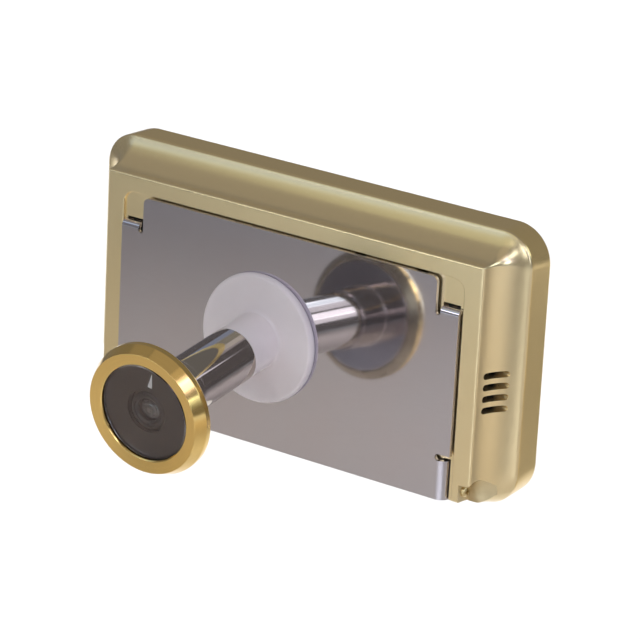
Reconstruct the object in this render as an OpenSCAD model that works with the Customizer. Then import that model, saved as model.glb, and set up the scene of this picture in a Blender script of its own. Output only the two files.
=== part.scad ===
// Peephole door camera: a monitor that hangs on a steel plate on the room side
// of a door, and a camera in a barrel that passes through the door.
// Millimetres. Origin: centre of the barrel hole on the door-side face of the
// plate. -Y points out through the door, +Y into the room, +Z up.

/* [Monitor body] */
// Width over the raised rails on the back
frame_w = 110; // [108:0.5:112]
// Height over the raised rails on the back
frame_h = 59.4; // [59:0.2:60]
// How far the right side and the top flare out from the rails to the band
flare = 6.4; // [5.6:0.1:7]
// How far the left side flares out
flare_left = 8; // [6.4:0.1:8.4]
// How far the underside flares out
flare_bottom = 2.2; // [1.8:0.1:3]
// Depth of the hollowed sides, from the rails to the band
rear_depth = 10.8; // [10.6:0.1:11.2]
// Depth of the flat band round the front
band_depth = 8.5; // [7.9:0.1:8.8]
// Corner radius of the band
corner_r = 9; // [8.5:0.5:12]
// Sideways offset of the body's centre from the barrel hole
body_x = 6.4; // [6:0.1:7]
// Height of the rails' centre over the barrel hole
body_z = 2.1; // [1.8:0.1:2.4]
// Depth of the recess between the rails
recess_d = 0.7; // [0.5:0.1:0.9]
// Number of speaker slots in the side
slot_count = 4; // [3:1:5]
// Distance between the speaker slots
slot_pitch = 2.87; // [2.5:0.05:3.2]

/* [Mounting plate] */
// Sheet thickness
plate_t = 1; // [0.8:0.1:1.2]
// Half width of the middle panel
panel_hw = 43; // [42.5:0.1:43.2]
// Half width over the side wings
wing_hw = 49.45; // [49:0.05:49.6]
// Top edge of the middle panel
plate_top = 27.1; // [26.5:0.1:27.2]
// Bottom edge of the plate
plate_bottom = -27.8; // [-28.2:0.1:-27.6]
// Radius of the barrel hole in the plate
plate_hole_r = 6.4; // [6.2:0.1:6.6]

/* [Camera barrel] */
// Angle at which the loose barrel hangs
droop = 7.2; // [6:0.1:8]
// How far that lean is turned aside from straight down
droop_side = 12.4; // [0:0.1:15]
// Radius of the barrel
barrel_r = 7; // [6.9:0.1:7.2]
// Distance of the barrel's rear end from the plate
barrel_start = 11.8; // [11.6:0.1:13]
// Where the thicker front length of the barrel begins
collar_start = 33; // [31:0.5:35]
// Rear face of the camera head
head_rear = 42.2; // [42:0.1:42.4]
// Largest radius of the camera head
head_r = 16.4; // [16.2:0.05:17]
// Radius of the camera window
window_r = 12; // [11.5:0.1:12.2]
// Length of the clamp sleeve's shank from the plate
sleeve_len = 38; // [32:0.5:38.4]
// Radius of the clamp sleeve's shank
sleeve_r = 5.5; // [5.2:0.1:5.5]

/* [Spacer bush] */
// Radius of the bush's flange
bush_r = 16.25; // [15:0.25:17]
// Thickness of the bush's flange
bush_t = 2; // [1.5:0.1:2.4]

/* [Front] */
// Radius of the view key
key_r = 6; // [4.5:0.1:6.2]
// How far the view key travels
key_travel = 0.5; // [0.3:0.05:0.6]

/* [Hidden] */
$fn = 64;

hx = frame_w / 2;
top_z = body_z + frame_h / 2;
bot_z = body_z - frame_h / 2;
rail_y = plate_t;                       // door-side face of the rails
floor_y = rail_y + recess_d;            // floor of the recess
split_y = rail_y + rear_depth;          // joint between rear housing and bezel
front_y = split_y + band_depth;
band_x0 = body_x - hx - flare_left;
band_x1 = body_x + hx + flare;
band_z0 = bot_z - flare_bottom;
band_z1 = top_z + flare;
band_cz = (band_z0 + band_z1) / 2;
recess_hw = 49.9;
recess_top = 27.5;
pocket_r = 15;
board_y = 11;                           // rear face of the circuit board
screw_y = 3.6;                          // fixing screw axis
screw_z = -25.1;
wall_y = 4;                             // inner face of the back wall
seat_y = 3.9;                           // seat of the housing screws
lift = 3;                               // travel that frees the monitor from the hooks
tab_x0 = 44.4;
tab_z = 20.2;
bend_r = 2.6;
flange_x = 48.6;
key_x = -33;
glass_y0 = front_y - 1.6;
glass_y1 = front_y - 0.2;
glass = [band_x0 + 4.4, band_z0 + 4.4, band_x1 - 4.4, band_z1 - 4.4];
lcd = [-16, band_cz - 31, 60, band_cz + 31];
housing_screw_at = [[-30, 24.5], [-30, -23], [50.2, 12.2], [50.2, -13]];

champagne = [0.68, 0.62, 0.46];
steel = [0.58, 0.56, 0.57];
chrome = [0.72, 0.73, 0.75];
gold = [0.75, 0.6, 0.3];
black = [0.08, 0.08, 0.09];
green = [0.07, 0.3, 0.16];

// circle radius of a hollow that starts square to the rails' face
function cove_r(d, f) = (d * d + f * f) / (2 * f);

// extrude a shape drawn in X and Z from y0 to y1
module ext(y0, y1) translate([0, y1, 0]) rotate([90, 0, 0]) linear_extrude(y1 - y0) children();

module box(a, b) translate(a) cube(b - a);

module rrect(x0, z0, x1, z1, r) {
    translate([x0 + r, z0]) square([x1 - x0 - 2 * r, z1 - z0]);
    translate([x0, z0 + r]) square([x1 - x0, z1 - z0 - 2 * r]);
    for (x = [x0 + r, x1 - r], z = [z0 + r, z1 - r]) translate([x, z]) circle(r);
}

module ycyl(x, z, r, y0, y1) translate([x, y1, z]) rotate([90, 0, 0]) cylinder(h = y1 - y0, r = r);
module xcyl(x0, x1, y, z, r) translate([x0, y, z]) rotate([0, 90, 0]) cylinder(h = x1 - x0, r = r);

// left and right copies about the body's centre line
module both() {
    translate([body_x, 0, 0]) children();
    translate([body_x, 0, 0]) mirror([1, 0, 0]) children();
}

// local +Z runs out along the hanging barrel, local +Y stays up
module along_barrel() rotate(a = droop, v = [cos(droop_side), 0, sin(droop_side)]) rotate([90, 0, 0]) children();

function barrel_point(l) = let (c = cos(droop), s = sin(droop))
    [s * sin(droop_side) * l, -c * l, -s * cos(droop_side) * l];

module rod(p, q, r) {
    v = q - p;
    translate(p) rotate([0, acos(v[2] / norm(v)), atan2(v[1], v[0])]) cylinder(h = norm(v), r = r);
}

// ---- plate side ----

module plate_outline() difference() {
    union() {
        translate([body_x - panel_hw, plate_bottom]) square([2 * panel_hw, plate_top - plate_bottom - 1.6]);
        translate([body_x - panel_hw + 1.6, plate_top - 2]) square([2 * panel_hw - 3.2, 2]);
        for (s = [-1, 1]) translate([body_x + s * (panel_hw - 1.6), plate_top - 1.6]) circle(1.6);
        // wings
        translate([body_x - wing_hw, -17.9]) square([2 * wing_hw, tab_z - 1.5 + 17.9]);
        translate([body_x - flange_x + bend_r, plate_bottom]) square([2 * (flange_x - bend_r), 10]);
    }
    for (s = [-1, 1]) translate([body_x + s * (panel_hw + tab_x0) / 2, 0]) {
        // slot between the panel and each wing
        translate([-(tab_x0 - panel_hw) / 2, 18.6]) square([tab_x0 - panel_hw, 12]);
        translate([0, 18.6]) circle((tab_x0 - panel_hw) / 2);
    }
    for (s = [-1, 1]) {
        // relief cut above each bent flange
        translate([body_x + s * 46.2, -17.1]) circle(0.85);
        translate([body_x + s * (46.2 + 4), -17.1]) square([8, 1.7], center = true);
    }
    circle(plate_hole_r);
}

module mounting_plate() color(steel) {
    ext(0, plate_t) plate_outline();
    both() {
        // rolled top of each wing, running back into the hook
        intersection() {
            difference() {
                xcyl(tab_x0, wing_hw, 1.5, tab_z - 1.5, 1.5);
                xcyl(tab_x0 - 1, wing_hw + 1, 1.5, tab_z - 1.5, 1.5 - plate_t);
            }
            box([tab_x0, 0, tab_z - 1.5], [wing_hw, 1.5, tab_z]);
        }
        box([tab_x0, 1.5, tab_z - plate_t], [wing_hw - 0.9, 5.6, tab_z]);
        box([tab_x0, 4.7, tab_z], [wing_hw - 0.9, 5.6, tab_z + 1.9]);
        // lower flange, bent back, with a slot for the fixing screw
        intersection() {
            difference() {
                translate([flange_x - bend_r, bend_r, plate_bottom]) cylinder(h = 9.85, r = bend_r);
                translate([flange_x - bend_r, bend_r, plate_bottom - 1]) cylinder(h = 12, r = bend_r - plate_t);
            }
            box([flange_x - bend_r, 0, plate_bottom], [flange_x, bend_r, plate_bottom + 9.85]);
        }
        difference() {
            box([flange_x - plate_t, bend_r, plate_bottom], [flange_x, 6.2, plate_bottom + 9.85]);
            box([flange_x - 2, screw_y - 1.3, screw_z - 1.3], [flange_x + 1, screw_y + 1.3, screw_z + 1.3 + lift]);
        }
    }
}

module spacer_bush() color([0.8, 0.79, 0.8]) difference() {
    union() {
        rotate([90, 0, 0]) rotate_extrude() polygon([
            [6.2, 0], [bush_r - 0.3, 0], [bush_r, 0.3], [bush_r, bush_t - 0.5],
            [bush_r - 0.5, bush_t], [6.2, bush_t]]);
        intersection() {
            // the neck is a little slimmer than the barrel, so that it passes the same hole
            along_barrel() cylinder(h = barrel_start - 0.1, r = barrel_r - 0.15);
            box([-20, -20, -20], [20, 0, 20]);
        }
    }
    along_barrel() translate([0, 0, -5]) cylinder(h = 30, r = sleeve_r + 0.3);
    ycyl(0, 0, 6.2, -1, 1);
}

module clamp_washer() color(black) along_barrel() translate([0, 0, -3.5]) difference() {
    cylinder(h = 1, r = 10.5);
    translate([0, 0, -1]) cylinder(h = 3, r = sleeve_r + 0.3);
}

module clamp_sleeve() color(chrome) along_barrel() difference() {
    union() {
        translate([0, 0, -5.7]) rotate_extrude() polygon([
            [4, 0], [9, 0], [9.5, 0.5], [9.5, 1.7], [9, 2.15], [sleeve_r, 2.15], [4, 2.15]]);
        translate([0, 0, -4]) rotate_extrude() polygon([
            [4, 0], [sleeve_r, 0], [sleeve_r, sleeve_len + 3.4], [sleeve_r - 0.6, sleeve_len + 4], [4, sleeve_len + 4]]);
    }
    // two slots for a coin or key
    for (s = [-1, 1]) translate([s * 8, 0, -5.7]) cube([5, 1.6, 2], center = true);
}

// ---- camera barrel ----

module barrel_tube() color(chrome) along_barrel() rotate_extrude() polygon([
    [5.75, barrel_start], [barrel_r - 0.3, barrel_start], [barrel_r, barrel_start + 0.3],
    [barrel_r, collar_start - 0.15], [7.2, collar_start], [7.45, collar_start], [7.6, collar_start + 0.15],
    [7.6, head_rear], [13.7, head_rear], [14, head_rear + 0.3], [14, head_rear + 1.2], [5.75, head_rear + 1.2]]);

module camera_ring() color(gold) along_barrel() rotate_extrude() polygon([
    [14.05, head_rear], [14.75, head_rear], [head_r - 0.3, head_rear + 1.35], [head_r, head_rear + 1.75],
    [head_r, head_rear + 3], [head_r - 0.12, head_rear + 3.45], [15.13, head_rear + 5.95], [14.93, head_rear + 6.1],
    [window_r + 0.3, head_rear + 5.65], [window_r + 0.05, head_rear + 5.4],
    [window_r + 0.05, head_rear + 2.75], [14.05, head_rear + 2.75]]);

module camera_window() color([0.05, 0.05, 0.06]) along_barrel() rotate_extrude() polygon([
    [0, head_rear + 3.8], [window_r, head_rear + 3.8], [window_r, head_rear + 4.85],
    [window_r - 0.45, head_rear + 5.25], [0, head_rear + 5.25]]);

module head_baffle() color(black) along_barrel() rotate_extrude() polygon([
    [5.85, head_rear + 1.2], [14, head_rear + 1.2], [14, head_rear + 2.7], [window_r, head_rear + 2.7],
    [window_r, head_rear + 3.8], [6.6, head_rear + 3.8], [5.85, head_rear + 2.2]]);

module lens_holder() color(black) along_barrel() rotate_extrude() polygon([
    [2.4, head_rear - 1.8], [5.6, head_rear - 1.8], [5.6, head_rear + 1], [4.4, head_rear + 1],
    [4.4, head_rear + 3], [4, head_rear + 3.4], [2.9, head_rear + 3.4], [2.9, head_rear + 1.6], [2.4, head_rear + 1.6]]);

module lens() color([0.15, 0.17, 0.22]) along_barrel() intersection() {
    translate([0, 0, head_rear + 1.6]) cylinder(h = 1.7, r = 2.85);
    translate([0, 0, head_rear + 3.2 - 6]) sphere(6);
}

module sensor_board() color(green) along_barrel() translate([0, 0, head_rear - 3]) {
    cylinder(h = 1.2, r = 5.5);
    // image sensor
    translate([-1.5, -1.5, 1.2]) cube([3, 3, 0.6]);
}

module camera_cable() color([0.15, 0.15, 0.16]) {
    turn = barrel_point(-8.1);
    rod(barrel_point(head_rear - 3), turn, 1);
    rod(turn, [turn[0], turn[1], -9.8], 1);
    // bend relief where the cable turns down to its plug
    translate(turn) sphere(1.3, $fn = 96);
}

module camera_plug() color([0.85, 0.83, 0.76]) difference() {
    box([-3.5, 7.4, -13.4], [3.5, 9.8, -9.8]);
    for (x = [-2.4:1.2:2.4]) box([x - 0.3, 7, -13.6], [x + 0.3, 7.8, -11.4]);
}

// ---- monitor ----

module flared_solid() difference() {
    ext(rail_y, split_y) rrect(band_x0, band_z0, band_x1, band_z1, corner_r);
    rs = cove_r(rear_depth, flare);
    rl = cove_r(rear_depth, flare_left);
    rb = cove_r(rear_depth, flare_bottom);
    translate([body_x + hx + rs, rail_y, -80]) cylinder(h = 160, r = rs, $fn = 128);
    translate([body_x - hx - rl, rail_y, -80]) cylinder(h = 160, r = rl, $fn = 128);
    xcyl(-120, 120, rail_y, top_z + rs, rs);
    xcyl(-120, 120, rail_y, bot_z - rb, rb);
}

module housing_cavity() difference() {
    union() {
        box([body_x - 53, wall_y, bot_z + 2], [body_x + 53, 12, top_z - 2]);
        box([body_x - 54.8, 7.8, bot_z + 1.8], [body_x + 54.8, 12, top_z]);
        box([body_x - 57.4, 10.4, bot_z + 1.4], [body_x + 57.4, 12, top_z + 2.6]);
    }
    // lower corner blocks that carry the fixing screws
    both() box([45.7, 3, bot_z - 1], [60, 10.6, -16.2]);
}

module rear_housing() color(champagne) difference() {
    union() {
        difference() {
            flared_solid();
            housing_cavity();
        }
        ycyl(0, 0, pocket_r + 1.2, floor_y + 0.5, 10.6);
        for (p = housing_screw_at) ycyl(p[0], p[1], 2.8, floor_y + 0.5, board_y);
    }
    // recess for the plate, open at the bottom
    ext(0, floor_y) union() {
        translate([body_x - recess_hw, -60]) square([2 * recess_hw, 60 + recess_top - 3]);
        translate([body_x - recess_hw + 3, 0]) square([2 * recess_hw - 6, recess_top]);
        for (s = [-1, 1]) translate([body_x + s * (recess_hw - 3), recess_top - 3]) circle(3);
    }
    // room for the sleeve's head and the camera plug
    ycyl(0, 0, pocket_r, 1, 9.4);
    box([-5, 8, -14.5], [5, 12, -8.6]);
    both() {
        // slots for the plate's hooks
        box([44.1, 1, 16], [48.9, wall_y + 0.2, 20.9]);
        // pockets for the plate's bent flanges
        box([46.9, 1, -40], [48.9, 7, -17.4]);
        // screwdriver scoop and screw hole
        translate([51.8, 3.2, -25.4]) rotate([0, 90, 0]) rotate_extrude() polygon([[0, 0], [3.4, 0], [3.4, 3], [11.2, 13], [0, 13]]);
        xcyl(48.5, 53, screw_y, screw_z, 1.05);
    }
    for (p = housing_screw_at) {
        ycyl(p[0], p[1], 1.25, 1, 12);
        ycyl(p[0], p[1], 2, 1, seat_y);
    }
    // two moulding notches in the top wall of the recess
    for (x = [26.6, 44.2]) box([x - 1.5, 1.2, 26.4], [x + 1.5, wall_y + 0.3, 28.3]);
    // speaker slots
    for (i = [0:slot_count - 1]) let (z = 0.1 + (i - (slot_count - 1) / 2) * slot_pitch) {
        box([body_x + 52.5, 4.2, z - 0.8], [body_x + 64, 8.7, z + 0.8]);
        for (y = [4.2, 8.7]) xcyl(body_x + 52.5, body_x + 64, y, z, 0.8);
    }
}

module front_bezel() color(champagne) difference() {
    ext(split_y, front_y) rrect(band_x0, band_z0, band_x1, band_z1, corner_r);
    ext(split_y - 1, glass_y0 - 1) rrect(band_x0 + 2, band_z0 + 2, band_x1 - 2, band_z1 - 2, corner_r - 2);
    ext(split_y, front_y + 1) rrect(glass[0] + 1.8, glass[1] + 1.8, glass[2] - 1.8, glass[3] - 1.8, 4.2);
    ext(glass_y0, front_y + 1) rrect(glass[0] - 0.1, glass[1] - 0.1, glass[2] + 0.1, glass[3] + 0.1, 6.1);
    // charging port
    box([band_x0 - 1, 12.7, -4.1], [band_x0 + 4, 16.1, 4.1]);
}

module screen_glass() color([0.03, 0.03, 0.035]) difference() {
    ext(glass_y0, glass_y1) rrect(glass[0], glass[1], glass[2], glass[3], 6);
    ycyl(key_x, band_cz, key_r + 0.15, 10, 30);
    ycyl(key_x, band_cz + 17, 1.1, 10, 30);
    ycyl(key_x, band_cz - 17, 0.6, 10, 30);
}

module lcd_panel() color([0.35, 0.37, 0.4]) difference() {
    box([lcd[0], 13.7, lcd[1]], [lcd[2], 17, lcd[3]]);
    // step of the metal frame round the active area
    difference() {
        box([lcd[0] - 1, 16.6, lcd[1] - 1], [lcd[2] + 1, 18, lcd[3] + 1]);
        box([lcd[0] + 1.2, 16, lcd[1] + 2.4], [lcd[2] - 1.2, 19, lcd[3] - 2.4]);
    }
}

module lcd_tray() color([0.2, 0.2, 0.21]) difference() {
    union() {
        ext(12.9, 13.7) rrect(band_x0 + 2.6, band_z0 + 2.6, band_x1 - 2.6, band_z1 - 2.6, corner_r - 2.6);
        for (p = housing_screw_at) ycyl(p[0], p[1], 2.6, 12.4, 13.7);
    }
    for (p = housing_screw_at) ycyl(p[0], p[1], 0.95, 12, 14);
    box([key_x - 5, 12, band_cz - 5], [key_x + 5, 15, band_cz + 5]);
    ycyl(key_x, band_cz - 17, 3.4, 12, 15);
    box([key_x - 2, 12, band_cz + 15], [key_x + 2, 15, band_cz + 19]);
    box([body_x - 64, 12, -4.8], [-46.5, 15, 4.8]);
}

module main_board() color(green) difference() {
    box([-50.4, board_y, -23.6], [57, board_y + 1.4, 31]);
    for (p = housing_screw_at) ycyl(p[0], p[1], 1.6, 8, 15);
}

module board_chips() color(black) {
    box([-40, board_y - 1.2, 12], [-29, board_y, 21]);
    box([-24, board_y - 1.4, 17], [-17, board_y, 22]);
    box([-10, board_y - 1, 20], [-4, board_y, 26]);
    for (i = [0:4]) box([2 + 2.6 * i, board_y - 0.8, 22], [3.2 + 2.6 * i, board_y, 24]);
    for (i = [0:3]) box([-46, board_y - 0.8, 6 + 3 * i], [-44.4, board_y, 7.2 + 3 * i]);
}

module shield_can() color(steel) difference() {
    box([-42, board_y - 2.4, -15], [-18, board_y, 7]);
    box([-41.7, board_y - 2.1, -14.7], [-18.3, board_y + 1, 6.7]);
    for (x = [-38:4:-22], z = [-11:4:3]) ycyl(x, z, 0.7, 8, board_y - 2);
}

module camera_socket() color([0.9, 0.88, 0.8]) difference() {
    box([-4.2, 9.8, -13.8], [4.2, board_y, -9.4]);
    box([-3.6, 9.8, -9.8], [3.6, 10.4, -9]);
}

module usb_socket() color(chrome) difference() {
    box([-54.2, board_y + 1.4, -3.75], [-47.4, 15.6, 3.75]);
    box([-55, 12.9, -3.35], [-48.2, 15.1, 3.35]);
}

module battery() color([0.55, 0.57, 0.6]) {
    box([19.5, 4.6, -24], [45, 10.2, 22]);
    // folded end with the protection strip
    box([20.5, 5.4, 22], [44, 9.4, 24]);
}

module battery_pad() color([0.9, 0.88, 0.8]) box([22, 4, -20], [42, 4.6, 20]);

module speaker() color(black) difference() {
    box([53.6, 4.3, -10], [58.4, 10.9, 10]);
    box([57.9, 5.1, -9], [59, 10.1, 9]);
}

module speaker_gasket() color([0.15, 0.15, 0.15]) difference() {
    box([58.4, 4.3, -10], [59.4, 7.7, 10]);
    box([58, 5.1, -9], [60, 8, 9]);
}

module microphone() color(chrome) difference() {
    ycyl(key_x, band_cz - 17, 3, board_y + 1.4, 16.4);
    ycyl(key_x, band_cz - 17, 0.7, 15.8, 17);
}

module key_switch() color([0.75, 0.75, 0.76]) {
    box([key_x - 3, board_y + 1.4, band_cz - 3], [key_x + 3, 14.9, band_cz + 3]);
    ycyl(key_x, band_cz, 1.75, 14.9, 16.9 - key_travel);
}

module status_led() color([0.9, 0.9, 0.85]) box([key_x - 0.8, board_y + 1.4, band_cz + 16.2], [key_x + 0.8, 13.4, band_cz + 17.8]);

module light_pipe() color([0.85, 0.9, 0.95]) {
    ycyl(key_x, band_cz + 17, 1, 14, glass_y1);
    ycyl(key_x, band_cz + 17, 1.8, 14, 15);
}

module view_key() color(champagne) translate([key_x, 0, band_cz]) rotate([-90, 0, 0]) rotate_extrude() polygon([
    [0, 17.1], [key_r + 0.8, 17.1], [key_r + 0.8, glass_y0 - 0.4], [key_r, glass_y0 - 0.4], [key_r, front_y + 0.2],
    [key_r - 0.5, front_y + 0.6], [key_r - 1.2, front_y + 0.6], [0, front_y + 0.3]]);

module small_screw(head_r, head_h, r, l) rotate_extrude() polygon([
    [0, -head_h], [head_r * 0.55, -head_h], [head_r * 0.88, -head_h * 0.72], [head_r, -head_h * 0.3], [head_r, 0],
    [r, 0], [r, l - 0.5], [r - 0.4, l], [0, l]]);

module cross_slot(d, l) for (a = [0, 90]) rotate([0, 0, a]) cube([l, 0.45, 2 * d], center = true);

module housing_screws() color(chrome) for (p = housing_screw_at) translate([p[0], seat_y, p[1]]) rotate([-90, 0, 0]) difference() {
    small_screw(1.8, 1.1, 0.9, 9.6);
    translate([0, 0, -1.1]) cross_slot(0.6, 2);
}

module fixing_screw() translate([51.8, screw_y, screw_z]) rotate([0, -90, 0]) difference() {
    small_screw(1.45, 1.1, 1, 4.5);
    translate([0, 0, -1.1]) cross_slot(0.6, 1.7);
}

module fixing_screw_right() color(chrome) translate([body_x, 0, 0]) fixing_screw();
module fixing_screw_left() color(chrome) translate([body_x, 0, 0]) mirror([1, 0, 0]) fixing_screw();

mounting_plate();
spacer_bush();
clamp_washer();
clamp_sleeve();
barrel_tube();
camera_ring();
camera_window();
head_baffle();
lens_holder();
lens();
sensor_board();
camera_cable();
camera_plug();
rear_housing();
front_bezel();
screen_glass();
lcd_panel();
lcd_tray();
main_board();
board_chips();
shield_can();
camera_socket();
usb_socket();
battery();
battery_pad();
speaker();
speaker_gasket();
microphone();
key_switch();
status_led();
light_pipe();
view_key();
housing_screws();
fixing_screw_right();
fixing_screw_left();
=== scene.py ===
import math

import bmesh
import bpy
import numpy as np
from mathutils import Matrix, Vector


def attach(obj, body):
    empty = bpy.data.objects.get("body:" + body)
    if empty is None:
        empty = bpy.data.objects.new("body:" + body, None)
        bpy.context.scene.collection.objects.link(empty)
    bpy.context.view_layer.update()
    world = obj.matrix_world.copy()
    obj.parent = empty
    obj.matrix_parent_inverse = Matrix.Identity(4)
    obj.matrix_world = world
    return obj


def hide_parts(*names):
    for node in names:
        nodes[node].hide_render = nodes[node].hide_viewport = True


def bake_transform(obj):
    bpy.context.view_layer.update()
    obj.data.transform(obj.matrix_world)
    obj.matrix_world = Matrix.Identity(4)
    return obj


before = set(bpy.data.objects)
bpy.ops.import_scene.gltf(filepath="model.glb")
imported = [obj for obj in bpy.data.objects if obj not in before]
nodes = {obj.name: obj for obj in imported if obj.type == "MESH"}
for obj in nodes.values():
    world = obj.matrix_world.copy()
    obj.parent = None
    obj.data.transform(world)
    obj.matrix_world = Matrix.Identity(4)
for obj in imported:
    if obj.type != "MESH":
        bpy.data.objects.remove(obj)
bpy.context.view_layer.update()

scene = bpy.context.scene
MM = 0.001

# ---------------------------------------------------------------- dimensions (mm)
BX = 6.4                                  # body centre over the barrel hole
HX = 55.0                                 # half width over the rails
TOP, BOT = 31.8, -27.6                    # rails
FLARE, FLARE_L, FLARE_B = 6.4, 8.0, 2.2   # top and right, left, bottom
RAIL_Y, FLOOR_Y, SPLIT_Y, FRONT_Y = 1.0, 1.7, 11.8, 20.3
X0, X1 = BX - HX - FLARE_L, BX + HX + FLARE
Z0, Z1 = BOT - FLARE_B, TOP + FLARE
BAND_CZ = (Z0 + Z1) / 2
CORNER, CORNER_FRONT = 8.4, 9.4           # at the parting line and at the front
LIP = 0.8                                 # rounding where the hollow sides meet the band
KEY_X = -33.0

# the hanging barrel: EZ runs out along it
_t, _s = math.radians(7.2), math.radians(12.4)
_turn = Matrix.Rotation(_t, 3, Vector((math.cos(_s), 0, math.sin(_s))))
EX = np.array(_turn @ Vector((1, 0, 0)))
EY = np.array(_turn @ Vector((0, 0, 1)))
EZ = np.array(_turn @ Vector((0, -1, 0)))


# ---------------------------------------------------------------- mesh helpers
def rounded(points, segs=5):
    """A closed polyline with the corners (x, y, r) turned into arcs of radius r."""
    out, n = [], len(points)
    for i, p in enumerate(points):
        c0 = np.array(p[:2], float)
        r = p[2] if len(p) > 2 else 0.0
        if r <= 0:
            out.append(tuple(c0))
            continue
        a = np.array(points[i - 1][:2], float) - c0
        b = np.array(points[(i + 1) % n][:2], float) - c0
        la, lb = np.linalg.norm(a), np.linalg.norm(b)
        a, b = a / la, b / lb
        ang = math.acos(max(-1.0, min(1.0, float(a @ b))))
        t = min(r / math.tan(ang / 2), 0.49 * la, 0.49 * lb)
        rr = t * math.tan(ang / 2)
        bis = (a + b) / np.linalg.norm(a + b)
        c = c0 + bis * rr / math.sin(ang / 2)
        v0, v1 = c0 + a * t - c, c0 + b * t - c
        a0 = math.atan2(v0[1], v0[0])
        da = (math.atan2(v1[1], v1[0]) - a0 + math.pi) % (2 * math.pi) - math.pi
        for k in range(segs + 1):
            w = a0 + da * k / segs
            out.append((c[0] + rr * math.cos(w), c[1] + rr * math.sin(w)))
    return out


def mesh_object(name, verts, faces, merge=1e-6):
    """A new object from points in mm, with doubles joined and normals pointing out."""
    me = bpy.data.meshes.new(name)
    me.from_pydata([tuple(float(c) * MM for c in v) for v in verts], [], faces)
    bm = bmesh.new()
    bm.from_mesh(me)
    bmesh.ops.remove_doubles(bm, verts=bm.verts, dist=merge)
    bmesh.ops.dissolve_degenerate(bm, edges=bm.edges, dist=1e-8)
    bmesh.ops.recalc_face_normals(bm, faces=bm.faces)
    bm.to_mesh(me)
    bm.free()
    ob = bpy.data.objects.new(name, me)
    scene.collection.objects.link(ob)
    return ob


def skin(name, rings, loop=False, caps=False):
    """Quads between rings of equal length; loop joins the last ring to the first."""
    n = len(rings[0])
    verts = [p for ring in rings for p in ring]
    faces = []
    for j in range(len(rings) if loop else len(rings) - 1):
        a, b = j * n, ((j + 1) % len(rings)) * n
        for i in range(n):
            k = (i + 1) % n
            faces.append((a + i, a + k, b + k, b + i))
    if caps:
        faces.append(tuple(range(n)))
        faces.append(tuple(range((len(rings) - 1) * n, len(rings) * n)))
    return mesh_object(name, verts, faces)


def barrel_ring(r, l, segs):
    w = np.arange(segs) * 2 * math.pi / segs
    return EZ * l + r * (np.cos(w)[:, None] * EX + np.sin(w)[:, None] * EY)


def lathe(name, profile, segs=144, ring=barrel_ring):
    """A closed profile of (radius, distance) turned about an axis."""
    return skin(name, [ring(max(r, 0.0), l, segs) for r, l in profile], loop=True)


def y_ring(cx, cz):
    def ring(r, y, segs):
        w = np.arange(segs) * 2 * math.pi / segs
        return np.stack([cx + r * np.cos(w), np.full(segs, y), cz + r * np.sin(w)], 1)
    return ring


def box_outline(x0, z0, x1, z1, r, corner=18, sides=6):
    """A rounded rectangle in X and Z with the same number of points at any size."""
    pts = []
    for cx, cz, a0, nx, nz in ((x1 - r, z1 - r, 0, 1, 0), (x0 + r, z1 - r, 90, 0, 1),
                               (x0 + r, z0 + r, 180, -1, 0), (x1 - r, z0 + r, 270, 0, -1)):
        arc = [(cx + r * math.cos(math.radians(a0 + 90 * k / corner)),
                cz + r * math.sin(math.radians(a0 + 90 * k / corner))) for k in range(corner + 1)]
        pts.append(arc)
    out = []
    for i in range(4):
        out += pts[i]
        a, b = np.array(pts[i][-1]), np.array(pts[(i + 1) % 4][0])
        out += [tuple(a + (b - a) * k / (sides + 1)) for k in range(1, sides + 1)]
    return out


def at_y(pts, y):
    return [(x, y, z) for x, z in pts]


def prism(name, pts, y0, y1):
    return skin(name, [at_y(pts, y0), at_y(pts, y1)], caps=True)


def block(name, a, b):
    (x0, y0, z0), (x1, y1, z1) = a, b
    return prism(name, [(x0, z0), (x1, z0), (x1, z1), (x0, z1)], y0, y1)


def x_tube(name, y, z, profile, segs=48):
    """A turned solid about an axis along X: profile is (radius, x)."""
    def ring(r, x, n):
        w = np.arange(n) * 2 * math.pi / n
        return np.stack([np.full(n, x), y + r * np.cos(w), z + r * np.sin(w)], 1)
    return skin(name, [ring(r, x, segs) for r, x in profile], caps=True)


def apply_booleans(ob, steps):
    """Cuts or joins other meshes in turn, and removes them."""
    for op, other in steps:
        m = ob.modifiers.new("cut", "BOOLEAN")
        m.operation, m.object, m.solver = op, other, "EXACT"
        bpy.context.view_layer.update()
        dg = bpy.context.evaluated_depsgraph_get()
        me = bpy.data.meshes.new_from_object(ob.evaluated_get(dg))
        ob.modifiers.clear()
        ob.data = me
        bpy.data.objects.remove(other)
    bm = bmesh.new()
    bm.from_mesh(ob.data)
    bmesh.ops.remove_doubles(bm, verts=bm.verts, dist=2e-7)
    bmesh.ops.dissolve_degenerate(bm, edges=bm.edges, dist=1e-7)
    bm.to_mesh(ob.data)
    bm.free()
    return ob


def shade(ob, angle=28.0, weighted=True):
    """Smooth faces, sharp edges over an angle, and flats kept flat beside their fillets."""
    bm = bmesh.new()
    bm.from_mesh(ob.data)
    lim = math.radians(angle)
    for f in bm.faces:
        f.smooth = True
    for e in bm.edges:
        e.smooth = len(e.link_faces) == 2 and e.calc_face_angle(0.0) < lim
    bm.to_mesh(ob.data)
    bm.free()
    if weighted:
        m = ob.modifiers.new("flat", "WEIGHTED_NORMAL")
        m.mode, m.weight, m.keep_sharp = "FACE_AREA", 60, True
    return ob


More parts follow.
